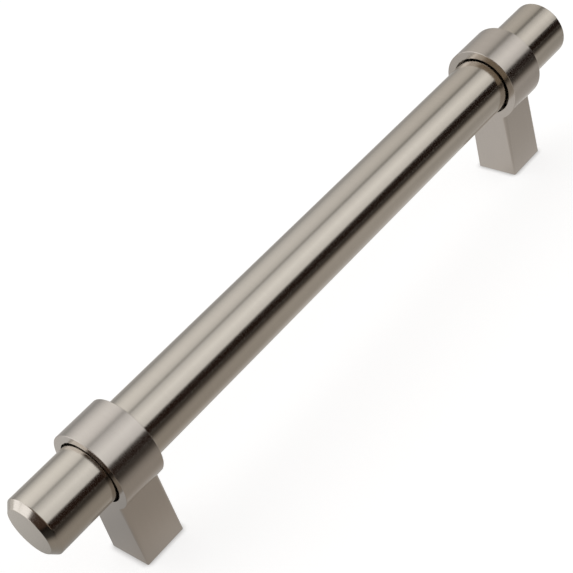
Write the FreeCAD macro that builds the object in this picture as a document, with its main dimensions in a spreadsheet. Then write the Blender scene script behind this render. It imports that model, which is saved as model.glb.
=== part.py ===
import FreeCAD, Part
import os
import Sketcher

# Bar pull for a cabinet door or drawer, in millimetres.
# A solid round bar passes through two cast posts and stands off the door on them.
# Origin: on the mounting plane, midway between the two mounting holes.
# +X runs along the bar, +Z points away from the door.

# Driving dimensions
SIZES = {
    # the two mounting holes, and so the two posts
    "hole_spacing": 128.0,
    # bar
    "bar_diameter": 13.4,
    "bar_overhang": 20.5,
    "bar_end_chamfer": 1.4,
    "bar_height": 24.0,
    # post: a ring round the bar, flush along the bar with the square leg below it
    "post_width": 10.1,
    "ring_wall": 1.8,
    "ring_edge_chamfer": 0.15,
    "bore_mouth_chamfer": 0.1,
    "leg_breadth": 10.0,
    "leg_foot_edge_round": 0.3,
    "leg_top_edge_round": 1.3,
    "leg_edge_run_out": 0.5,
    "foot_edge_chamfer": 0.15,
    # seat of the bar in the ring: slack all round, and a smaller gap above it
    "bore_clearance": 0.45,
    "bar_contact_gap": 0.35,
    # tapped mounting hole in the foot, at its tapping drill's size
    "mounting_hole_diameter": 3.3,
    "mounting_hole_depth": 9.5,
    "mounting_hole_chamfer": 0.4,
    # grub screw that presses the bar against the top of the bore; plain at its pitch diameter
    "grub_diameter": 2.68,
    "grub_length": 6.0,
    "grub_end_chamfer": 0.3,
    "grub_tip_diameter": 0.4,
    "grub_socket_flats": 1.5,
    "grub_socket_depth": 1.6,
    "grub_thread_clearance": 0.03,
    # drilled dimple in the bar for the point of the grub screw
    "dimple_depth": 0.8,
    "dimple_clearance": 0.03,
    "dimple_run_out": 0.3,
}

SIDES = {"left": -1, "right": 1}
UPRIGHT = FreeCAD.Vector(0, 0, 1)

doc = FreeCAD.newDocument("bar_pull")
sheet = doc.addObject("Spreadsheet::Sheet", "sizes")
for row, (name, value) in enumerate(SIZES.items(), start=1):
    sheet.set(f"A{row}", name)
    sheet.set(f"B{row}", str(value))
    sheet.setAlias(f"B{row}", name)
doc.recompute()

# Lengths that follow from the driving dimensions
BAR_RADIUS = "sizes.bar_diameter / 2"
BAR_LENGTH = "(sizes.hole_spacing + 2 * sizes.bar_overhang)"
BORE_RADIUS = f"({BAR_RADIUS} + sizes.bore_clearance)"
RING_RADIUS = f"({BORE_RADIUS} + sizes.ring_wall)"
# The bar is pushed up in its bore, so the ring's axis lies a little below the bar's.
RING_AXIS = "(sizes.bar_height - sizes.bore_clearance + sizes.bar_contact_gap)"
TAPPED_RADIUS = "sizes.mounting_hole_diameter / 2"
GRUB_RADIUS = "sizes.grub_diameter / 2"
GRUB_HOLE_RADIUS = f"{GRUB_RADIUS} + sizes.grub_thread_clearance"
GRUB_TIP_RADIUS = "sizes.grub_tip_diameter / 2"
# The point is a right-angled cone, so it is as long as its radius shrinks.
GRUB_SHANK = f"(sizes.grub_length - {GRUB_RADIUS} + {GRUB_TIP_RADIUS})"
# Height of the grub screw's lower end, with its point one clearance short of the dimple's wall
GRUB_FOOT = (
    f"(sizes.bar_height - {BAR_RADIUS} + sizes.dimple_depth - sizes.dimple_clearance"
    f" - sizes.grub_length - {GRUB_TIP_RADIUS})"
)


# The roundings of the leg's edges are parts of cones, because they grow from the foot to the top.
# Growth of the radius per millimetre of height
EDGE_GROWTH = f"((sizes.leg_top_edge_round - sizes.leg_foot_edge_round) / {RING_AXIS})"
# Distance of the cone from the sharp corner, on the diagonal, per millimetre of radius
EDGE_DEPTH = (
    f"((sqrt(2) - 1 / sqrt(1 + {EDGE_GROWTH}^2))"
    f" / (1 + sqrt(2) * {EDGE_GROWTH}^2 / sqrt(1 + {EDGE_GROWTH}^2)))"
)
# Share of the turn between the lines where the cone touches the two faces
EDGE_ANGLE = f"2 * acos(1 / sqrt(2 + 2 * {EDGE_GROWTH}^2))"


def leg_rounding(height):
    """Radius of the leg's edge rounding at a height."""
    return f"(sizes.leg_foot_edge_round + {EDGE_GROWTH} * ({height}))"


def new_body(label):
    """An empty body for one piece."""
    body = doc.addObject("PartDesign::Body", label)
    body.Label = label
    return body


def new_sketch(body, name, plane):
    """A sketch on one of the body's own origin planes."""
    sketch = body.newObject("Sketcher::SketchObject", f"{body.Name}_{name}")
    for feature in body.Origin.OriginFeatures:
        if feature.Role == plane:
            sketch.AttachmentSupport = [(feature, "")]
    sketch.MapMode = "FlatFace"
    return sketch


def add_feature(body, kind, name, settings=(), formulas=()):
    """A feature with its settings and its sizes, put at the end of the body."""
    feature = body.newObject(kind, f"{body.Name}_{name}")
    for key, value in settings:
        setattr(feature, key, value)
    for key, formula in formulas:
        feature.setExpression(key, formula)
    doc.recompute()
    return feature


def add_turned(body, kind, name, sketch, axis):
    """A full turn of a sketch about one of its own axes: added or cut away, by its kind."""
    settings = [("Profile", sketch), ("ReferenceAxis", (sketch, [axis])), ("Angle", 360.0)]
    return add_feature(body, kind, name, settings)


def drive(sketch, kind, where, formula):
    """Adds one dimension to a sketch and ties it to the driving sizes."""
    start = float(sketch.evalExpression(formula))
    index = sketch.addConstraint(Sketcher.Constraint(kind, *where, start))
    sketch.setExpression(f"Constraints[{index}]", formula)


def add_outline(sketch, corners):
    """A closed outline with straight sides; each corner is a pair of formulas."""
    places = []
    for across, up in corners:
        x = float(sketch.evalExpression(across))
        y = float(sketch.evalExpression(up))
        places.append(FreeCAD.Vector(x, y, 0))
    following = places[1:] + places[:1]
    lines = [sketch.addGeometry(Part.LineSegment(a, b)) for a, b in zip(places, following)]
    for line, after in zip(lines, lines[1:] + lines[:1]):
        sketch.addConstraint(Sketcher.Constraint("Coincident", line, 2, after, 1))
    for line, (across, up) in zip(lines, corners):
        drive(sketch, "DistanceX", (-1, 1, line, 1), across)
        drive(sketch, "DistanceY", (-1, 1, line, 1), up)


def add_guide_line(sketch, ends):
    """A straight line to turn about; each end is a pair of formulas."""
    places = []
    for across, up in ends:
        x = float(sketch.evalExpression(across))
        y = float(sketch.evalExpression(up))
        places.append(FreeCAD.Vector(x, y, 0))
    line = sketch.addGeometry(Part.LineSegment(*places), True)
    for point, (across, up) in enumerate(ends, start=1):
        drive(sketch, "DistanceX", (-1, 1, line, point), across)
        drive(sketch, "DistanceY", (-1, 1, line, point), up)


def round_section(length, radius, end_radius, end_length):
    """Half the section of a round thing about a level axis, with a cone at both ends."""
    half = f"{length} / 2"
    return [
        (f"-{half}", "0"),
        (half, "0"),
        (half, end_radius),
        (f"{half} - {end_length}", radius),
        (f"{end_length} - {half}", radius),
        (f"-{half}", end_radius),
    ]


def make_bar():
    """One solid round bar with chamfered flat ends and a dimple over each grub screw."""
    bar = new_body("bar")
    bar.setExpression("Placement.Base.z", "sizes.bar_height")
    section = new_sketch(bar, "section", "XZ_Plane")
    end_radius = f"{BAR_RADIUS} - sizes.bar_end_chamfer"
    add_outline(section, round_section(BAR_LENGTH, BAR_RADIUS, end_radius, "sizes.bar_end_chamfer"))
    add_turned(bar, "PartDesign::Revolution", "rod", section, "H_Axis")
    for side, sign in SIDES.items():
        cone = new_sketch(bar, f"{side}_dimple_section", "XZ_Plane")
        cone.setExpression("AttachmentOffset.Base.x", f"{sign} * sizes.hole_spacing / 2")
        add_outline(cone, [
            ("0", f"-{BAR_RADIUS} - sizes.dimple_run_out"),
            ("sizes.dimple_depth + sizes.dimple_run_out", f"-{BAR_RADIUS} - sizes.dimple_run_out"),
            ("0", f"-{BAR_RADIUS} + sizes.dimple_depth"),
        ])
        add_turned(bar, "PartDesign::Groove", f"{side}_dimple", cone, "V_Axis")
    return bar


def round_leg_edge(post, number, way_x, way_y):
    """Rounds one upright edge of the leg with the part of a cone that touches both its faces."""
    # The sketch stands on the diagonal of the corner: its origin is the corner's lower end, X
    # points outwards and Y up. The cone's guide line leans inwards as the radius grows.
    sketch = new_sketch(post, f"leg_edge_section_{number}", "XZ_Plane")
    diagonal = FreeCAD.Rotation(FreeCAD.Vector(0, 1, 0), 90 * number - 45)
    sketch.AttachmentOffset = FreeCAD.Placement(FreeCAD.Vector(), diagonal)
    sketch.setExpression("AttachmentOffset.Base.x", f"{way_x} * sizes.post_width / 2")
    sketch.setExpression("AttachmentOffset.Base.z", f"{-way_y} * sizes.leg_breadth / 2")
    below = "-sizes.leg_edge_run_out"
    above = f"({RING_AXIS} + sizes.leg_edge_run_out)"
    add_guide_line(sketch, [(f"-sqrt(2) * {leg_rounding(z)}", z) for z in (below, above)])
    add_outline(sketch, [
        (f"-{EDGE_DEPTH} * {leg_rounding(below)}", below),
        ("sizes.leg_edge_run_out", below),
        ("sizes.leg_edge_run_out", above),
        (f"-{EDGE_DEPTH} * {leg_rounding(above)}", above),
    ])
    settings = [("Profile", sketch), ("ReferenceAxis", (sketch, ["Axis0"])), ("Midplane", True)]
    return add_feature(
        post, "PartDesign::Groove", f"leg_edge_{number}", settings, [("Angle", EDGE_ANGLE)]
    )


def add_leg(post):
    """The square leg up to the ring's axis; its crisp edges grow softer towards the ring."""
    section = new_sketch(post, "leg_section", "XY_Plane")
    half_width = "sizes.post_width / 2"
    half_breadth = "sizes.leg_breadth / 2"
    add_outline(section, [
        (f"-{half_width}", f"-{half_breadth}"),
        (half_width, f"-{half_breadth}"),
        (half_width, half_breadth),
        (f"-{half_width}", half_breadth),
    ])
    add_feature(post, "PartDesign::Pad", "leg", [("Profile", section)], [("Length", RING_AXIS)])
    corners = ((1, 1), (-1, 1), (-1, -1), (1, -1))
    for number, (way_x, way_y) in enumerate(corners, start=1):
        leg = round_leg_edge(post, number, way_x, way_y)
    foot = []
    for index, edge in enumerate(leg.Shape.Edges, start=1):
        if all(abs(vertex.Z) < 1e-6 for vertex in edge.Vertexes):
            foot.append(f"Edge{index}")
    add_feature(
        post, "PartDesign::Chamfer", "foot_edges",
        [("Base", (leg, foot))], [("Size", "sizes.foot_edge_chamfer")],
    )


def make_post(side, sign):
    """One cast post: the leg, the ring on top of it, the bore and the stepped screw hole."""
    post = new_body(f"{side}_post")
    post.setExpression("Placement.Base.x", f"{sign} * sizes.hole_spacing / 2")
    add_leg(post)

    # Ring with broken outer edges, then the bore with a small flare at each mouth
    ring_end = f"{RING_RADIUS} - sizes.ring_edge_chamfer"
    bore_end = f"{BORE_RADIUS} + sizes.bore_mouth_chamfer"
    turned = (
        ("ring", "PartDesign::Revolution", RING_RADIUS, ring_end, "sizes.ring_edge_chamfer"),
        ("bore", "PartDesign::Groove", BORE_RADIUS, bore_end, "sizes.bore_mouth_chamfer"),
    )
    for name, kind, radius, end_radius, end_length in turned:
        section = new_sketch(post, f"{name}_section", "XZ_Plane")
        section.setExpression("AttachmentOffset.Base.y", RING_AXIS)
        add_outline(section, round_section("sizes.post_width", radius, end_radius, end_length))
        add_turned(post, kind, name, section, "H_Axis")

    # Tapped hole up from the foot, and the narrower one above it that holds the grub screw
    drilled = new_sketch(post, "screw_hole_section", "XZ_Plane")
    add_outline(drilled, [
        ("0", "0"),
        (f"{TAPPED_RADIUS} + sizes.mounting_hole_chamfer", "0"),
        (TAPPED_RADIUS, "sizes.mounting_hole_chamfer"),
        (TAPPED_RADIUS, "sizes.mounting_hole_depth"),
        (GRUB_HOLE_RADIUS, "sizes.mounting_hole_depth"),
        (GRUB_HOLE_RADIUS, RING_AXIS),
        ("0", RING_AXIS),
    ])
    add_turned(post, "PartDesign::Groove", "screw_hole", drilled, "V_Axis")
    return post


def add_hexagon(sketch, flats):
    """A regular hexagon about the origin, sized across its flats by a guide circle."""
    reach = f"{flats} / sqrt(3)"
    first = FreeCAD.Vector(float(sketch.evalExpression(reach)), 0, 0)
    corners = [FreeCAD.Rotation(UPRIGHT, 60 * step).multVec(first) for step in range(6)]
    following = corners[1:] + corners[:1]
    sides = [sketch.addGeometry(Part.LineSegment(a, b)) for a, b in zip(corners, following)]
    circle = Part.Circle(FreeCAD.Vector(), UPRIGHT, first.Length)
    guide = sketch.addGeometry(circle, True)
    sketch.addConstraint(Sketcher.Constraint("Coincident", guide, 3, -1, 1))
    for line, after in zip(sides, sides[1:] + sides[:1]):
        sketch.addConstraint(Sketcher.Constraint("Coincident", line, 2, after, 1))
        sketch.addConstraint(Sketcher.Constraint("PointOnObject", line, 1, guide))
    for line in sides[1:]:
        sketch.addConstraint(Sketcher.Constraint("Equal", sides[0], line))
    sketch.addConstraint(Sketcher.Constraint("PointOnObject", sides[0], 1, -1))
    drive(sketch, "Radius", (guide,), reach)


def make_grub_screw(side, sign):
    """A grub screw with a cone point at the top and a hexagon socket at the bottom."""
    screw = new_body(f"{side}_grub_screw")
    screw.setExpression("Placement.Base.x", f"{sign} * sizes.hole_spacing / 2")
    screw.setExpression("Placement.Base.z", GRUB_FOOT)
    section = new_sketch(screw, "section", "XZ_Plane")
    add_outline(section, [
        ("0", "0"),
        (f"{GRUB_RADIUS} - sizes.grub_end_chamfer", "0"),
        (GRUB_RADIUS, "sizes.grub_end_chamfer"),
        (GRUB_RADIUS, GRUB_SHANK),
        (GRUB_TIP_RADIUS, "sizes.grub_length"),
        ("0", "sizes.grub_length"),
    ])
    add_turned(screw, "PartDesign::Revolution", "shank", section, "V_Axis")
    hexagon = new_sketch(screw, "socket_hexagon", "XY_Plane")
    add_hexagon(hexagon, "sizes.grub_socket_flats")
    add_feature(
        screw, "PartDesign::Pocket", "socket",
        [("Profile", hexagon), ("Reversed", True)], [("Length", "sizes.grub_socket_depth")],
    )
    return screw


pieces = [make_bar()]
for side, sign in SIDES.items():
    pieces.append(make_post(side, sign))
    pieces.append(make_grub_screw(side, sign))
doc.recompute()

for item in doc.Objects:
    if "Invalid" in item.State or "Error" in item.State:
        raise RuntimeError(f"{item.Label} failed: {item.State}")
for piece in pieces:
    if piece.Shape.isNull() or not piece.Shape.isValid() or len(piece.Shape.Solids) != 1:
        raise RuntimeError(f"{piece.Label} isn't one sound solid")

os.makedirs("parts", exist_ok=True)
for piece in pieces:
    piece.Shape.exportStep(f"parts/{piece.Label}.step")
    box = piece.Shape.BoundBox
    print(
        f"{piece.Label}: {piece.Shape.Volume:.2f} mm3,"
        f" x {box.XMin:.2f} to {box.XMax:.2f}, y {box.YMin:.2f} to {box.YMax:.2f},"
        f" z {box.ZMin:.2f} to {box.ZMax:.2f}"
    )
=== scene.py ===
# %% [markdown]
# # A bar pull in satin nickel
#
# The pull is a solid round bar held in two cast posts. Each post is a ring on a square leg, and a
# small grub screw hidden in the leg holds the bar by a dimple in its underside.
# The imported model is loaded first. It is the fixed frame: every piece below is made in metres at
# the place that the model gives, and then stands in for the plain piece of the same name.

# %% Load the frame
import math

import bmesh
import bpy
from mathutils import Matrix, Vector


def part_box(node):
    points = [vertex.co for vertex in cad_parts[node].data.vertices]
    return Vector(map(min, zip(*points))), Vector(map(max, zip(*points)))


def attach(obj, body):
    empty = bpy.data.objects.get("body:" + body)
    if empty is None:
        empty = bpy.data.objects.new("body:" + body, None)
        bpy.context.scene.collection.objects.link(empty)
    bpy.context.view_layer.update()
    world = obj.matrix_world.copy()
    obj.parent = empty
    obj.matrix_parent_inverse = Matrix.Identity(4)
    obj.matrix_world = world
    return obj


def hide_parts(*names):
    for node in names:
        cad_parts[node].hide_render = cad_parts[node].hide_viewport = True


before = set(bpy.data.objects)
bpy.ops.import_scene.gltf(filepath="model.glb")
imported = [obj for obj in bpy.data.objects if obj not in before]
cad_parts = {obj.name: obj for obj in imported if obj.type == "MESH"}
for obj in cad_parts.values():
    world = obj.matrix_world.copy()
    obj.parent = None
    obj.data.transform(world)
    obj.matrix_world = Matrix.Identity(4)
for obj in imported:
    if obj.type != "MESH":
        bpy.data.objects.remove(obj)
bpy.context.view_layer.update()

for node in sorted(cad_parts):
    low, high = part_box(node)
    print(node, [round(1000 * v, 2) for v in (*low, *high)])

# %% [markdown]
# ## Sizes
#
# Millimetres are easier to read than metres, so every size is written as a number of them times
# `MM`. The values repeat those of the model. The bar has play all round in the bore of the ring,
# and the screw pushes it up a little, so the bar's axis is 0.1 mm above the ring's.

# %% Sizes
MM = 0.001
BAR_LENGTH = 169.0 * MM
BAR_RADIUS = 6.7 * MM
BAR_CHAMFER = 1.4 * MM
BAR_HEIGHT = 24.0 * MM
POST_X = 64.0 * MM
POST_WIDTH = 10.1 * MM
LEG_BREADTH = 10.0 * MM
RING_RADIUS = 8.95 * MM
RING_HEIGHT = 23.9 * MM
BORE_RADIUS = 7.15 * MM

# %% [markdown]
# ## Helpers for modelling
#
# Blender's operators act on whatever is selected, and the loaded model is selected when the
# script starts. So each helper first clears the selection. Inside edit mode, parts of a mesh are
# picked by where they are, as one would box-select them by hand.

# %% Helpers for selecting
def activate(piece):
    """Makes one object the only selected one."""
    if bpy.context.mode != "OBJECT":
        bpy.ops.object.mode_set(mode="OBJECT")
    bpy.ops.object.select_all(action="DESELECT")
    piece.select_set(True)
    bpy.context.view_layer.objects.active = piece


def edit(piece, kind="VERT"):
    """Opens one object in edit mode with nothing selected."""
    activate(piece)
    bpy.ops.object.mode_set(mode="EDIT")
    bpy.ops.mesh.select_mode(type=kind)
    bpy.ops.mesh.select_all(action="DESELECT")


LEVEL = 0.1 * MM


def pick(piece, kind, test):
    """In edit mode, selects the vertices or edges whose every corner passes the test."""
    mesh = bmesh.from_edit_mesh(piece.data)
    for part in getattr(mesh, kind):
        corners = [part] if kind == "verts" else part.verts
        if all(test(corner.co) for corner in corners):
            part.select_set(True)
    bmesh.update_edit_mesh(piece.data)


def run_of(edge, axis):
    """How far an edge runs along one axis."""
    start, end = (getattr(corner.co, axis) for corner in edge.verts)
    return abs(end - start)


def drop_edges_along_x(piece):
    """Unselects the long edges between two circles and keeps the circles themselves."""
    mesh = bmesh.from_edit_mesh(piece.data)
    for edge in mesh.edges:
        if edge.select and run_of(edge, "x") > LEVEL:
            edge.select_set(False)
    bmesh.update_edit_mesh(piece.data)


def leave_edit():
    bpy.ops.object.mode_set(mode="OBJECT")


# %% [markdown]
# ## Turned shapes
#
# The bar, the ring, the bore and the screws are all turned on a lathe, so one helper makes them.
# A plane is merged into a single point, the point is extruded into half the section, and Spin
# turns that section into a solid. This gives an even mesh, which matters on bright metal: every
# uneven face would show as a kink in a reflection.

# %% Helpers for turned shapes
TURN_STEPS = 192
SMALL_TURN_STEPS = 48
MERGE = 0.0005 * MM


def draw_line(name, points):
    """A chain of edges through points given in metres."""
    bpy.ops.object.select_all(action="DESELECT")
    bpy.ops.mesh.primitive_plane_add(size=MM)
    piece = bpy.context.object
    piece.name = name
    bpy.ops.object.mode_set(mode="EDIT")
    bpy.ops.mesh.select_mode(type="VERT")
    bpy.ops.mesh.select_all(action="SELECT")
    bpy.ops.mesh.merge(type="CENTER")
    bpy.ops.transform.translate(value=points[0])
    for here, there in zip(points, points[1:]):
        step = Vector(there) - Vector(here)
        bpy.ops.mesh.extrude_vertices_move(TRANSFORM_OT_translate={"value": step})
    return piece


def close_up(piece):
    """Merges doubles and turns every face outwards."""
    bpy.ops.mesh.select_all(action="SELECT")
    bpy.ops.mesh.remove_doubles(threshold=MERGE)
    bpy.ops.mesh.normals_make_consistent(inside=False)
    leave_edit()
    return piece


def turn(name, section, centre, axis="X", steps=TURN_STEPS):
    """A solid of revolution. The section is pairs of (distance along the axis, radius)."""
    along = Vector((1, 0, 0)) if axis == "X" else Vector((0, 0, 1))
    across = Vector((0, 0, 1)) if axis == "X" else Vector((1, 0, 0))
    centre = Vector(centre)
    piece = draw_line(name, [centre + a * along + r * across for a, r in section])
    bpy.ops.mesh.select_all(action="SELECT")
    bpy.ops.mesh.spin(steps=steps, angle=math.tau, center=centre, axis=along)
    return close_up(piece)


def cut(piece, tool, operation="DIFFERENCE"):
    """Joins, subtracts or intersects two solids and deletes the second."""
    activate(piece)
    modifier = piece.modifiers.new("cut", "BOOLEAN")
    modifier.operation = operation
    modifier.solver = "EXACT"
    modifier.object = tool
    bpy.ops.object.modifier_apply(modifier=modifier.name)
    bpy.data.objects.remove(tool)
    return piece


HARD_EDGE = math.radians(32)


def enlarge(piece, factor):
    """Scales the mesh itself about the world's origin."""
    piece.scale = (factor, factor, factor)
    bpy.ops.object.transform_apply(scale=True)


def finish_shading(piece):
    """Smooth shading that keeps flat faces flat and hard edges hard.

    Weighted Normal takes no notice of faces far below a square millimetre, so the piece is made
    a thousand times larger while the modifier works, and is then brought back to its size.
    """
    activate(piece)
    bpy.ops.object.shade_smooth_by_angle(angle=HARD_EDGE)
    enlarge(piece, 1 / MM)
    modifier = piece.modifiers.new("even normals", "WEIGHTED_NORMAL")
    modifier.keep_sharp = True
    bpy.ops.object.modifier_apply(modifier=modifier.name)
    enlarge(piece, MM)
    faces = len(piece.data.polygons)
    size = [round(v / MM, 2) for v in piece.dimensions]
    print(f"{piece.name}: {faces} faces, {size} mm")
    return piece


# %% [markdown]
# ## The bar
#
# The real bar is cut from drawn rod, and a 45 degree chamfer is turned on each end. Its section is
# half a long rectangle with two corners cut off. The chamfer's edges are not razor sharp on the
# real bar, and a sharp edge never catches the light, so a narrow bevel is put on them. A drilled
# dimple over each post takes the point of the grub screw; two extra rings of vertices beside it
# keep that cut from disturbing the rest of the long smooth surface.

# %% The bar
DIMPLE_DEPTH = 0.8 * MM
DIMPLE_RUN_OUT = 0.3 * MM
DIMPLE_GUARD = 2.0 * MM
EDGE_BREAK = 0.12 * MM

half = BAR_LENGTH / 2
guards = sorted(side * POST_X + way * DIMPLE_GUARD for side in (-1, 1) for way in (-1, 1))
bar = turn(
    "brushed_bar",
    [(-half, 0), (-half, BAR_RADIUS - BAR_CHAMFER), (-half + BAR_CHAMFER, BAR_RADIUS)]
    + [(x, BAR_RADIUS) for x in guards]
    + [(half - BAR_CHAMFER, BAR_RADIUS), (half, BAR_RADIUS - BAR_CHAMFER), (half, 0)],
    (0, 0, BAR_HEIGHT),
)


def near(value, target, slack=0.002 * MM):
    return abs(value - target) < slack


def bar_corner(co):
    """True on the four circles where the chamfers begin and end."""
    radius = math.hypot(co.y, co.z - BAR_HEIGHT)
    outer = near(abs(co.x), half - BAR_CHAMFER) and near(radius, BAR_RADIUS)
    inner = near(abs(co.x), half) and near(radius, BAR_RADIUS - BAR_CHAMFER)
    return outer or inner


edit(bar, "EDGE")
pick(bar, "edges", bar_corner)
drop_edges_along_x(bar)
bpy.ops.mesh.bevel(offset=EDGE_BREAK, segments=3, affect="EDGES")
leave_edit()

for side in (-1, 1):
    dimple = turn(
        "dimple",
        [
            (-BAR_RADIUS - DIMPLE_RUN_OUT, 0),
            (-BAR_RADIUS - DIMPLE_RUN_OUT, DIMPLE_DEPTH + DIMPLE_RUN_OUT),
            (-BAR_RADIUS + DIMPLE_DEPTH, 0),
        ],
        (side * POST_X, 0, BAR_HEIGHT),
        axis="Z", steps=SMALL_TURN_STEPS,
    )
    cut(bar, dimple)
finish_shading(bar)

# %% [markdown]
# ## Threads
#
# The mounting holes and the grub screws are threaded. A thread is one tooth's section drawn over
# one pitch and repeated by the Screw modifier, which turns it and lifts it at the same time. The
# ends are then cut level with Bisect. The result is a threaded rod, used both to cut the nut
# thread in the post and to make the screw, so the two fit.

# %% Threaded rods
def threaded_rod(name, x, low, high, pitch, minor, major, steps=32):
    """A closed threaded rod that stands on the Z axis through x."""
    run = (0, 0.125, 0.4375, 0.5625, 0.875, 1)
    radii = (minor, minor, major, major, minor, minor)
    rod = draw_line(name, [(r, 0, share * pitch) for share, r in zip(run, radii)])
    leave_edit()
    turns = math.ceil((high - low) / pitch) + 2
    modifier = rod.modifiers.new("thread", "SCREW")
    modifier.angle = math.tau
    modifier.screw_offset = pitch
    modifier.iterations = turns
    modifier.steps = steps
    modifier.render_steps = steps
    modifier.use_merge_vertices = True
    modifier.merge_threshold = MERGE
    activate(rod)
    bpy.ops.object.modifier_apply(modifier=modifier.name)
    rod.location = (x, 0, pitch * (math.floor(low / pitch) - 1))
    bpy.ops.object.transform_apply(location=True)
    edit(rod)
    bpy.ops.mesh.select_all(action="SELECT")
    bpy.ops.mesh.remove_doubles(threshold=MERGE)
    for height, inner in ((low, True), (high, False)):
        bpy.ops.mesh.select_all(action="SELECT")
        bpy.ops.mesh.bisect(
            plane_co=(x, 0, height), plane_no=(0, 0, 1), use_fill=True,
            clear_inner=inner, clear_outer=not inner,
        )
    return close_up(rod)


# %% [markdown]
# ## The posts
#
# Each post is one casting: the leg and the ring share their flat faces, with no step between
# them. The leg is a block. Its upright edges are crisp at the foot and grow softer towards the
# ring, where the polishing wheel has reached them, so each edge is bevelled evenly first and the
# top of the bevel is then scaled up about the corner it came from.

# %% The leg
LEG_ROUND_FOOT = 0.3 * MM
LEG_ROUND_TOP = 1.3 * MM
FOOT_BREAK = 0.15 * MM


def make_leg(x):
    """The square leg, from the door up to the ring's axis."""
    bpy.ops.object.select_all(action="DESELECT")
    bpy.ops.mesh.primitive_cube_add(size=1, location=(x, 0, RING_HEIGHT / 2))
    leg = bpy.context.object
    leg.scale = (POST_WIDTH, LEG_BREADTH, RING_HEIGHT)
    bpy.ops.object.transform_apply(location=True, scale=True)
    edit(leg, "EDGE")
    mesh = bmesh.from_edit_mesh(leg.data)
    for edge in mesh.edges:
        if run_of(edge, "z") > LEVEL:
            edge.select_set(True)
    bmesh.update_edit_mesh(leg.data)
    bpy.ops.mesh.bevel(offset=LEG_ROUND_FOOT, segments=10, affect="EDGES")
    growth = LEG_ROUND_TOP / LEG_ROUND_FOOT
    for side_x in (-1, 1):
        for side_y in (-1, 1):
            corner = Vector((x + side_x * POST_WIDTH / 2, side_y * LEG_BREADTH / 2, RING_HEIGHT))
            bpy.ops.mesh.select_mode(type="VERT")
            bpy.ops.mesh.select_all(action="DESELECT")
            pick(leg, "verts", lambda co: (co - corner).length < 1.5 * LEG_ROUND_FOOT)
            bpy.ops.transform.resize(value=(growth, growth, 1), center_override=corner)
    bpy.ops.mesh.select_mode(type="EDGE")
    bpy.ops.mesh.select_all(action="DESELECT")
    pick(leg, "edges", lambda co: near(co.z, 0))
    bpy.ops.mesh.bevel(offset=FOOT_BREAK, segments=2, affect="EDGES")
    leave_edit()
    return leg


# %% [markdown]
# The ring is a turned disc with rounded rims, and the bore is cut through ring and leg together.
# Its mouths are rounded after the cut, because only then do the flat face and the bore meet in an
# edge that can be bevelled. Last comes the stepped screw hole: a wide thread for the mounting
# screw, a countersink at its mouth, and a narrow thread above it for the grub screw.

# %% The post
RING_EDGE_ROUND = 0.12 * MM
MOUTH_ROUND = 0.1 * MM
CUT_MARGIN = 1.0 * MM
MOUNT_DEPTH = 9.5 * MM
MOUNT_PITCH = 0.7 * MM
MOUNT_MINOR = 1.65 * MM
MOUNT_MAJOR = 2.0 * MM
MOUNT_SINK = 0.4 * MM
GRUB_PITCH = 0.5 * MM
GRUB_MINOR = 1.22 * MM
GRUB_MAJOR = 1.5 * MM
GRUB_PLAY = 0.03 * MM


def make_post(name, x):
    """Leg, ring, bore and screw hole of one post."""
    post = make_leg(x)
    post.name = name
    half_width = POST_WIDTH / 2
    centre = (x, 0, RING_HEIGHT)
    ring = turn(
        "ring",
        [(-half_width, 0), (-half_width, RING_RADIUS), (half_width, RING_RADIUS), (half_width, 0)],
        centre,
    )
    edit(ring, "EDGE")
    pick(ring, "edges", lambda co: near(math.hypot(co.y, co.z - RING_HEIGHT), RING_RADIUS))
    drop_edges_along_x(ring)
    bpy.ops.mesh.bevel(offset=RING_EDGE_ROUND, segments=6, affect="EDGES")
    leave_edit()
    cut(post, ring, "UNION")

    reach = half_width + CUT_MARGIN
    bore = turn(
        "bore",
        [(-reach, 0), (-reach, BORE_RADIUS), (reach, BORE_RADIUS), (reach, 0)],
        centre,
    )
    cut(post, bore)
    edit(post, "EDGE")

    def on_mouth(co):
        radius = math.hypot(co.y, co.z - RING_HEIGHT)
        return near(abs(co.x - x), half_width) and near(radius, BORE_RADIUS)

    pick(post, "edges", on_mouth)
    bpy.ops.mesh.bevel(offset=MOUTH_ROUND, segments=4, affect="EDGES")
    leave_edit()

    above = RING_HEIGHT - BORE_RADIUS + CUT_MARGIN
    for low, high, pitch, minor, major in (
        (-CUT_MARGIN, MOUNT_DEPTH, MOUNT_PITCH, MOUNT_MINOR, MOUNT_MAJOR),
        (MOUNT_DEPTH - GRUB_PITCH, above, GRUB_PITCH, GRUB_MINOR, GRUB_MAJOR),
    ):
        cut(post, threaded_rod("thread", x, low, high, pitch, minor, major))
    sink = turn(
        "sink",
        [
            (-CUT_MARGIN, 0),
            (-CUT_MARGIN, MOUNT_MAJOR + MOUNT_SINK / 2 + CUT_MARGIN),
            (MOUNT_SINK, MOUNT_MAJOR + MOUNT_SINK / 2 - MOUNT_SINK),
            (MOUNT_SINK, 0),
        ],
        (x, 0, 0), axis="Z", steps=SMALL_TURN_STEPS,
    )
    cut(post, sink)
    return finish_shading(post)


def copy_across(piece, name):
    """A copy with its own mesh, moved from the left post to the right one."""
    activate(piece)
    bpy.ops.object.duplicate()
    twin = bpy.context.object
    twin.name = name
    bpy.ops.transform.translate(value=(2 * POST_X, 0, 0))
    bpy.ops.object.transform_apply(location=True)
    return twin


left_post = make_post("cast_post_left", -POST_X)
right_post = copy_across(left_post, "cast_post_right")

# %% [markdown]
# ## The grub screws
#
# Each grub screw is a threaded rod with a cone point, and a hexagon socket for the key in its
# other end. The rod is cut down to its outline by keeping only what it shares with a turned
# blank, which tapers the ends of the thread as on a real screw.

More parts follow.
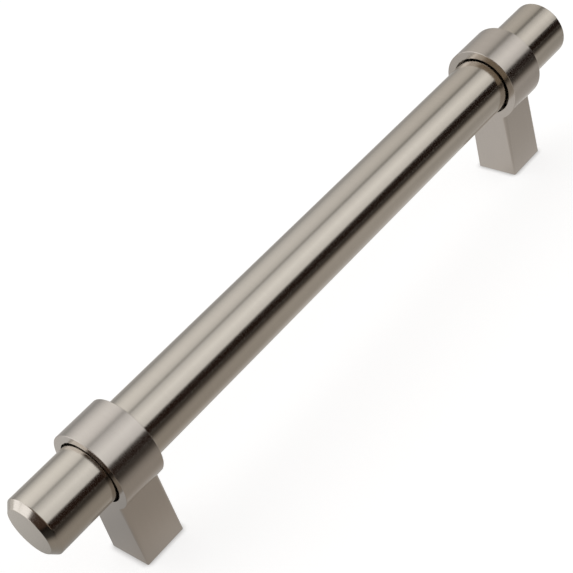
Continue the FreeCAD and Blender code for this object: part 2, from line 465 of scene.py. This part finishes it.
# %% The grub screws
GRUB_FOOT = 11.87 * MM
GRUB_LENGTH = 6.0 * MM
GRUB_TIP = 0.2 * MM
GRUB_CHAMFER = 0.3 * MM
SOCKET_FLATS = 1.5 * MM
SOCKET_DEPTH = 1.6 * MM


def make_grub_screw(name, x):
    """A threaded rod with a cone point at the top and a hexagon socket at the bottom."""
    radius = GRUB_MAJOR - GRUB_PLAY
    top = GRUB_FOOT + GRUB_LENGTH
    screw = threaded_rod(
        name, x, GRUB_FOOT - GRUB_PITCH, top + GRUB_PITCH, GRUB_PITCH,
        minor=GRUB_MINOR - GRUB_PLAY, major=radius,
    )
    blank = turn(
        "blank",
        [
            (0, 0),
            (0, radius - GRUB_CHAMFER),
            (GRUB_CHAMFER, radius),
            (GRUB_LENGTH - radius + GRUB_TIP, radius),
            (GRUB_LENGTH, GRUB_TIP),
            (GRUB_LENGTH, 0),
        ],
        (x, 0, GRUB_FOOT), axis="Z", steps=64,
    )
    cut(screw, blank, "INTERSECT")
    bpy.ops.object.select_all(action="DESELECT")
    bpy.ops.mesh.primitive_cylinder_add(
        vertices=6, radius=SOCKET_FLATS / math.sqrt(3), depth=2 * SOCKET_DEPTH,
        location=(x, 0, GRUB_FOOT),
    )
    socket = bpy.context.object
    bpy.ops.object.transform_apply(location=True)
    cut(screw, socket)
    return finish_shading(screw)


left_screw = make_grub_screw("socket_screw_left", -POST_X)
right_screw = copy_across(left_screw, "socket_screw_right")

# %% [markdown]
# ## Helpers for materials
#
# Shader nodes are easier to read as sums than as boxes and wires. `Wire` holds one socket, and
# adding or multiplying wires makes the Math nodes. `Finish` holds one material or world and makes
# every other node from its type, its settings and the values of its sockets.

# %% Wires and finishes
class Wire:
    """One output socket, with arithmetic."""

    def __init__(self, finish, socket):
        self.finish = finish
        self.socket = socket

    def math(self, operation, first, second):
        node = self.finish.node("Math", {"operation": operation}, {0: first, 1: second})
        return Wire(self.finish, node.outputs[0])

    def __add__(self, other):
        return self.math("ADD", self, other)

    def __radd__(self, other):
        return self.math("ADD", other, self)

    def __sub__(self, other):
        return self.math("SUBTRACT", self, other)

    def __rsub__(self, other):
        return self.math("SUBTRACT", other, self)

    def __mul__(self, other):
        return self.math("MULTIPLY", self, other)

    def __rmul__(self, other):
        return self.math("MULTIPLY", other, self)


class Finish:
    """The node tree of a material or of the world."""

    def __init__(self, owner):
        owner.use_nodes = True
        self.owner = owner
        self.tree = owner.node_tree
        self.tree.nodes.clear()

    def node(self, kind, settings=None, inputs=None):
        node = self.tree.nodes.new("ShaderNode" + kind)
        for key, value in (settings or {}).items():
            setattr(node, key, value)
        for key, value in (inputs or {}).items():
            self.plug(node.inputs[key], value)
        return node

    def plug(self, target, value):
        if isinstance(value, Wire):
            self.tree.links.new(value.socket, target)
        else:
            target.default_value = value

    def wire(self, node, output=0):
        return Wire(self, node.outputs[output])

    def ramp(self, value, stops):
        """Straight runs between stops. Each is a place and a grey level or a colour."""
        node = self.node("ValToRGB", {}, {0: value})
        elements = node.color_ramp.elements
        while len(elements) < len(stops):
            elements.new(1.0)
        for element, (place, level) in zip(elements, stops):
            element.position = place
            element.color = level if isinstance(level, tuple) else (level, level, level, 1)
        return self.wire(node)

    def fade(self, value, start, end, low=0.0, high=1.0, kind="SMOOTHSTEP"):
        """Low before start, high after end, with a soft or a straight run between."""
        node = self.node(
            "MapRange", {"interpolation_type": kind}, {0: value, 1: start, 2: end, 3: low, 4: high}
        )
        return self.wire(node)

    def blend(self, factor, first, second, kind="MIX"):
        """Mixes two colours, or multiplies or compares them."""
        node = self.node(
            "Mix", {"data_type": "RGBA", "blend_type": kind, "clamp_result": False},
            {0: factor, 6: first, 7: second},
        )
        return self.wire(node, 2)

    def position(self):
        """X, Y and Z of the shaded point."""
        place = self.wire(self.node("TexCoord"), "Object")
        split = self.node("SeparateXYZ", {}, {0: place})
        return [Wire(self, output) for output in split.outputs]

    def noise(self, scale, detail=2.0, rough=0.5):
        """Noise on the piece, with its own number of cells per metre along X, Y and Z."""
        place = self.wire(self.node("TexCoord"), "Object")
        stretched = self.node("Mapping", {"vector_type": "POINT"}, {0: place, "Scale": scale})
        node = self.node(
            "TexNoise", {},
            {0: self.wire(stretched), "Scale": 1.0, "Detail": detail, "Roughness": rough},
        )
        return self.wire(node)


# %% [markdown]
# ## Satin nickel
#
# The whole pull is plated and brushed. Brushing leaves fine parallel scratches: they break up the
# light a little along the bar and hardly at all around it, which is why the reflected bands stay
# so sharp. Here the scratches are noise stretched almost into lines. It changes the colour and
# the roughness by a few percent and tilts the surface with a very small bump, so that the finish
# holds up in a close view and stays quiet from afar.

# %% Satin nickel
CLOUD_CELLS = 250


def satin_nickel(name, colour, roughness, streaks):
    """Brushed nickel. Streaks is a function that gives the finish its coarse and fine scratches."""
    material = bpy.data.materials.new(name)
    finish = Finish(material)
    coarse, fine = streaks(finish)
    cloud = finish.noise((CLOUD_CELLS,) * 3, detail=2.0)
    tone = 0.93 + 0.06 * coarse + 0.05 * fine + 0.03 * cloud
    dark = tuple(0.80 * c for c in colour) + (1,)
    light = tuple(min(1.0, 1.2 * c) for c in colour) + (1,)
    shade = finish.blend((tone - 0.8) * 2.5, dark, light)
    rough = roughness + 0.02 * (coarse - 0.5) + 0.015 * (fine - 0.5)
    bump = finish.node(
        "Bump", {}, {"Strength": 0.05, "Distance": 0.02 * MM, "Height": fine + 0.5 * coarse}
    )
    shader = finish.node(
        "BsdfPrincipled", {},
        {"Base Color": shade, "Metallic": 1.0, "Roughness": rough, "Normal": finish.wire(bump)},
    )
    finish.node("OutputMaterial", {}, {"Surface": finish.wire(shader)})
    return material


def around_bar(finish):
    """Scratches round the X axis: thousands of cells along it, few across."""
    coarse = finish.noise((1800, 60, 60), detail=3.0, rough=0.6)
    fine = finish.noise((9000, 160, 160), detail=2.0, rough=0.6)
    return coarse, fine


LEG_TOP = 17.5 * MM


def around_ring_down_leg(finish):
    """Scratches round the ring, and straight down the leg below it."""
    height = finish.position()[2]
    leg = finish.fade(height, LEG_TOP, LEG_TOP - 2.0 * MM)
    coarse_and_fine = (
        ((1800, 80, 80), (1800, 1800, 60)),
        ((9000, 200, 200), (9000, 9000, 160)),
    )
    scratches = []
    for ring_cells, leg_cells in coarse_and_fine:
        ring = finish.noise(ring_cells, detail=3.0, rough=0.6)
        down = finish.noise(leg_cells, detail=3.0, rough=0.6)
        scratches.append(ring + leg * (down - ring))
    return scratches


BAR_COLOUR = (0.600, 0.555, 0.490)
POST_COLOUR = (0.600, 0.556, 0.508)
bar_nickel = satin_nickel("satin_nickel_bar", BAR_COLOUR, 0.17, around_bar)
post_nickel = satin_nickel("satin_nickel_post", POST_COLOUR, 0.21, around_ring_down_leg)

# %% [markdown]
# ## Blackened steel
#
# The grub screws are hardened steel with a thin black oxide. It is dark, a little oily and
# uneven, and the turning marks on the screw show through it.

# %% Blackened steel
def blackened_steel():
    material = bpy.data.materials.new("blackened_steel")
    finish = Finish(material)
    cloud = finish.noise((900, 900, 900), detail=3.0)
    marks = finish.noise((400, 400, 9000), detail=2.0)
    shade = finish.blend(cloud, (0.030, 0.029, 0.028, 1), (0.075, 0.072, 0.068, 1))
    bump = finish.node("Bump", {}, {"Strength": 0.2, "Distance": 0.02 * MM, "Height": marks})
    shader = finish.node(
        "BsdfPrincipled", {},
        {
            "Base Color": shade, "Metallic": 0.9, "Roughness": 0.32 + 0.2 * cloud,
            "Normal": finish.wire(bump),
        },
    )
    finish.node("OutputMaterial", {}, {"Surface": finish.wire(shader)})
    return material


screw_steel = blackened_steel()

# %% [markdown]
# ## Dressing the frame
#
# Every new piece rides on the model's one body and takes the place of its plain solid, which is
# hidden and given the same finish.

# %% Dress the frame
DRESS = (
    (bar, "bar", "bar", bar_nickel),
    (left_post, "left_post", "posts", post_nickel),
    (right_post, "right_post", "posts", post_nickel),
    (left_screw, "left_grub_screw", "grub_screws", screw_steel),
    (right_screw, "right_grub_screw", "grub_screws", screw_steel),
)
for piece, node, slot, material in DRESS:
    piece.data.materials.clear()
    piece.data.materials.append(material)
    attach(piece, "root")
    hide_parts(node)
    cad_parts[node].data.materials.clear()
    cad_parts[node].data.materials.append(material)

# %% [markdown]
# ## The light
#
# Polished metal shows its surroundings more than its own colour. The pull was lit by two large
# soft panels, one behind it and one on the camera's side, with a narrow gap right overhead. In
# the round bar each panel becomes a light band and the gap a thin dark line. In front, low down,
# the room is dark, and that makes the hard dark band. The world is painted with those panels:
# one ramp runs from the horizon behind, over the top, to the horizon in front, and further
# factors dim each panel towards the far end.
#
# Only the near end of the bar and the faces of the rings look the other way, past the near end.
# There the room is dim, apart from one bright lamp low behind the pull, which lights the chamfer.
# The camera itself sees plain white.

# %% The world
world = bpy.data.worlds.new("studio")
bpy.context.scene.world = world
sky = Finish(world)
direction = sky.node("SeparateXYZ", {}, {0: sky.wire(sky.node("TexCoord"), "Generated")})
to_x, to_y, to_z = (Wire(sky, output) for output in direction.outputs)
over = to_z.math("ARCTAN2", to_z, to_y) * (1 / math.pi)
WHITE = (1, 1, 1, 1)
DARK_ROOM = (0.014, 0.006, 0.003, 1)
NEAR_ROOM = (0.058, 0.036, 0.027, 1)
FAR_ROOM = (0.38, 0.32, 0.25, 1)
KEY_LAMP = (1.38, 1.38, 1.42, 1)
WARM_BACK = (1.0, 0.955, 0.90, 1)
WARM_FRONT = (1.0, 0.985, 0.965, 1)
BACK_PANEL = (
    (0.00, 0.40), (0.04, 0.48), (0.10, 0.62), (0.16, 0.73), (0.24, 0.81),
    (0.32, 0.82), (0.40, 0.74), (0.455, 0.60), (0.468, 0.34), (0.52, 0.34), (0.53, DARK_ROOM),
)
FRONT_PANEL = (
    (0.485, DARK_ROOM), (0.498, 0.67), (0.55, 0.82), (0.61, 0.96), (0.67, 1.08),
    (0.73, 0.99), (0.79, 0.89), (0.851, 0.86), (0.855, DARK_ROOM), (1.0, DARK_ROOM),
)
MID_X = 0.52
nearer = sky.fade(to_x, MID_X, MID_X - 0.30, 0.0, 0.30, "LINEAR")
farther = sky.fade(to_x, MID_X, MID_X + 0.20, 0.0, 0.20, "LINEAR")
back_near = sky.fade(over, 0.0, 0.25, -0.8, 1.1, "LINEAR")
back_far = sky.fade(over, 0.0, 0.14, 0.7, 1.55, "LINEAR")
back_level = 1.0 + nearer * back_near - farther * back_far
back_shift = 0.20 * farther - 0.04 * nearer
back = sky.blend(1.0, sky.ramp(over + back_shift, BACK_PANEL), back_level, "MULTIPLY")
far_warmth = sky.fade(farther, 0.0, 0.16, 0.15, 1.0)
back = sky.blend(1.0, back, sky.blend(far_warmth, WHITE, WARM_BACK), "MULTIPLY")
near_part = sky.fade(nearer, 0.10, 0.25)
far_part = sky.fade(farther, 0.06, 0.18)
by_gap = sky.fade(over, 0.62, 0.53)
by_edge = sky.fade(over, 0.75, 0.80)
front_level = (
    1.0 - 0.08 * near_part - 0.13 * far_part
    - 0.08 * by_gap * (near_part + far_part) - 0.12 * by_edge * far_part
)
front_shift = 0.07 * nearer * sky.fade(over, 0.75, 0.55)
front = sky.blend(1.0, sky.ramp(over - front_shift, FRONT_PANEL), front_level, "MULTIPLY")
front = sky.blend(1.0, front, sky.blend(far_part, WHITE, WARM_FRONT), "MULTIPLY")
panels = sky.blend(1.0, back, front, "LIGHTEN")
beside = sky.fade(to_x, 0.05, -0.30) * sky.fade(over, 0.30, 0.42, 0.45, 0.98)
far_room = sky.fade(to_x, -0.48, -0.62) * sky.fade(to_x, -0.88, -0.76)
room = sky.blend(far_room, NEAR_ROOM, FAR_ROOM)
panels = sky.blend(beside, panels, room)
panels = sky.blend(sky.fade(to_x, -0.80, -0.92), panels, NEAR_ROOM)
key_top = sky.fade(to_x, -0.66, -0.80, 0.13, 0.36) + sky.fade(to_x, -0.60, -0.40, 0.0, 0.31)
key = sky.fade(to_x, -0.12, -0.36) * sky.fade(over, -0.05, 0.0)
key = key * sky.fade(over - key_top, 0.02, -0.03)
panels = sky.blend(key, panels, KEY_LAMP)
seen = sky.wire(sky.node("LightPath"), "Is Camera Ray")
shown = sky.blend(seen, panels, WHITE)
background = sky.node("Background", {}, {"Color": shown, "Strength": 1.0})
sky.node("OutputWorld", {}, {"Surface": sky.wire(background)})

# %% [markdown]
# ## The floor
#
# The pull stands on a white sheet. The camera sees the sheet white, with the soft shadow of the
# pull on it and a thin painted dark line round each foot, where the sheet's white glow is
# darkened. The metal sees instead a glowing sheet painted with light and shade: brightest under
# and behind the bar, darker towards the near end, and lost in a warm painted dusk a hand's
# breadth in front, where the table ends. One ramp runs from front to back, and each factor after
# it paints light onto or shade over one patch that the metal shows.

# %% The floor
bpy.ops.object.select_all(action="DESELECT")
bpy.ops.mesh.primitive_plane_add(size=6.0, location=(0, 0, 0))
floor = bpy.context.object
floor.name = "floor"
sheet = Finish(bpy.data.materials.new("sheet_with_painted_light"))
floor.data.materials.append(sheet.owner)
x, y = sheet.position()[:2]
FLOOR_FRONT = -160 * MM
FLOOR_BACK = 140 * MM
WARM = (1.0, 0.91, 0.82, 1)
NEUTRAL = (1.0, 0.98, 0.96, 1)
DUSK = (1.0, 0.86, 0.74, 1)


def along_floor(place):
    """Place between the front and the back of the sheet's painted light, from 0 to 1."""
    return (place * MM - FLOOR_FRONT) / (FLOOR_BACK - FLOOR_FRONT)


# Painted light: how bright the glowing sheet is from front to back, as the metal reflects it.
FLOOR_LIGHT = (
    (along_floor(-160), 0.05), (along_floor(-125), 0.11), (along_floor(-92), 0.20),
    (along_floor(-66), 0.39), (along_floor(-50), 0.47), (along_floor(-24), 0.45),
    (along_floor(-12), 0.50), (along_floor(0), 0.61), (along_floor(12), 0.61),
    (along_floor(40), 0.50), (along_floor(140), 0.40),
)
near_side = sheet.fade(x, 50 * MM, -70 * MM)
forward = y - 20 * MM * near_side
place = (forward - FLOOR_FRONT) * (1 / (FLOOR_BACK - FLOOR_FRONT))
glow = sheet.ramp(place, FLOOR_LIGHT)
in_front = sheet.fade(y, 40 * MM, 10 * MM)
edge = sheet.fade(x, -105 * MM, -135 * MM)
far_side = sheet.fade(x, 70 * MM, 190 * MM)
painted_shade_near_front = near_side * sheet.fade(y, -62 * MM, -92 * MM)
# Painted shade: darker in front of the pull, most at the near left edge, on the far side and at the
# near front.
painted_light_and_shade = (1.04 - 0.28 * in_front * near_side) * (1.0 - 0.9 * in_front * edge)
painted_light_and_shade = painted_light_and_shade * (1.0 - 0.32 * in_front * far_side) * (1.0 - 0.22 * painted_shade_near_front)
# Painted light: a brighter patch beside the near leg's foot.
painted_light_by_leg = sheet.fade(x, -78 * MM, -60 * MM, 0.0, 0.32) * sheet.fade(x, -20 * MM, -45 * MM)
painted_light_and_shade = painted_light_and_shade * (1.0 + painted_light_by_leg * sheet.fade(y, -18 * MM, -4 * MM) * sheet.fade(y, 12 * MM, 0.0))
# Painted shade: a darker patch in front of the far leg.
painted_shade_by_far_leg = sheet.fade(x, 25 * MM, 60 * MM, 0.0, 0.12) * sheet.fade(y, 0.0, -8 * MM)
painted_light_and_shade = painted_light_and_shade * (1.0 - painted_shade_by_far_leg * sheet.fade(y, -45 * MM, -30 * MM))
# Painted light: a brighter patch under and just behind the bar.
painted_light_under_bar = sheet.fade(x, -50 * MM, -20 * MM, 0.0, 0.22) * sheet.fade(x, 18 * MM, -4 * MM)
painted_light_under_bar = painted_light_under_bar * sheet.fade(y, -16 * MM, -4 * MM) * sheet.fade(y, 60 * MM, 34 * MM)
painted_light_and_shade = painted_light_and_shade * (1.0 + painted_light_under_bar)
# Painted light: a bright patch beyond and behind the near end, which the chamfer shows.
painted_light_by_end = sheet.fade(x, -95 * MM, -125 * MM, 0.0, 0.7) * sheet.fade(y, 40 * MM, 80 * MM)
painted_light_and_shade = painted_light_and_shade * (1.0 + painted_light_by_end)
# The painted light is warmer in front, most on the near side, and turns to a warm painted dusk far
# in front.
tint = sheet.blend(sheet.fade(y, 8 * MM, -16 * MM) * (0.5 + 0.5 * near_side), NEUTRAL, WARM)
tint = sheet.blend(sheet.fade(y, -50 * MM, -120 * MM), tint, DUSK)
painted_sheet_light = sheet.blend(1.0, sheet.blend(1.0, glow, painted_light_and_shade, "MULTIPLY"), tint, "MULTIPLY")
# The metal and the bounced light see the sheet as this glow of painted light and shade, not as lit
# paper.
seen_by_metal = sheet.node("Emission", {}, {"Color": painted_sheet_light, "Strength": 1.0})
paper = sheet.node("BsdfDiffuse", {}, {"Color": (0.45, 0.45, 0.45, 1)})
# Painted shade: the white glow is darkened where a foot hides the sheet, which draws a thin dark
# line round each foot.
painted_contact_shade = sheet.wire(sheet.node("AmbientOcclusion", {}, {"Distance": 1.2 * MM}), "AO")
white = sheet.blend(painted_contact_shade, (0, 0, 0, 1), WHITE)
lift = sheet.node("Emission", {}, {"Color": white, "Strength": 0.76})
seen_by_camera = sheet.node("AddShader", {}, {0: sheet.wire(paper), 1: sheet.wire(lift)})
camera_ray = sheet.wire(sheet.node("LightPath"), "Is Camera Ray")
both = sheet.node(
    "MixShader", {},
    {0: camera_ray, 1: sheet.wire(seen_by_metal), 2: sheet.wire(seen_by_camera)},
)
sheet.node("OutputMaterial", {}, {"Surface": sheet.wire(both)})

# %% [markdown]
# ## The camera
#
# The camera's place was worked out from the outline of the pull in the picture: it is only about
# thirty centimetres away, above and in front of the near end, and tilted sideways so that the bar
# runs from corner to corner.

# %% The camera
lens_data = bpy.data.cameras.new("camera")
camera = bpy.data.objects.new("camera", lens_data)
bpy.context.scene.collection.objects.link(camera)
camera.location = (-0.15314, -0.17507, 0.20309)
camera.rotation_euler = [math.radians(a) for a in (49.768, 13.9372, -50.3418)]
lens_data.sensor_width = 36.0
lens_data.lens = 90.2409
lens_data.clip_start = 0.01
bpy.context.scene.camera = camera
bpy.context.scene.view_settings.view_transform = "Standard"
